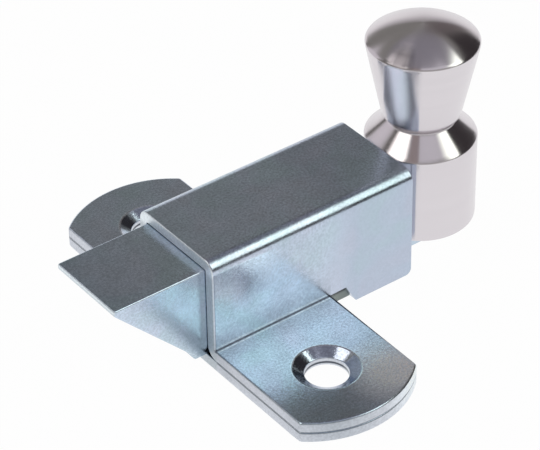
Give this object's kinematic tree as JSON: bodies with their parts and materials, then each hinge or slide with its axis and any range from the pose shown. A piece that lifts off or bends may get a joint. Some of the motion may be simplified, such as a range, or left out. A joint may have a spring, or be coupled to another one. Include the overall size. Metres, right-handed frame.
{
  "type": "spring-loaded door bolt",
  "caption": "Surface-mounted spring bolt: a folded steel housing with two screw ears, a bevelled sliding bolt and a turned pull knob at its rear end.",
  "frame": {"origin": "on the mounting face, midway between the two screw holes", "axes": "+Z away from the door face, -X the way the bolt is thrown, +X the way the knob is pulled, Y along the row of screw holes"},
  "size_m": [0.079, 0.075, 0.042],
  "materials": {
    "plated_sheet": "blue-bright zinc plating",
    "plated_block": "blue-bright zinc plating",
    "screw_steel": "bright",
    "spring_steel": "drawn wire",
    "knob_aluminium": "fine turned"
  },
  "bodies": {
    "case": {"housing": "plated_sheet", "base_plate": "plated_sheet", "spring": "spring_steel"},
    "bolt": {"latch_bolt": "plated_block", "tail_strip": "plated_block", "tail_screw_front": "screw_steel", "tail_screw_rear": "screw_steel", "knob": "knob_aluminium", "knob_screw": "screw_steel"}
  },
  "joints": [
    {"name": "bolt_slide", "type": "slide", "parent": "case", "child": "bolt", "axis": [1, 0, 0], "range_m": [0, 0.0175], "stiffness_N_per_m": 1300, "springref_m": -0.005, "deforming": ["spring"]}
  ]
}
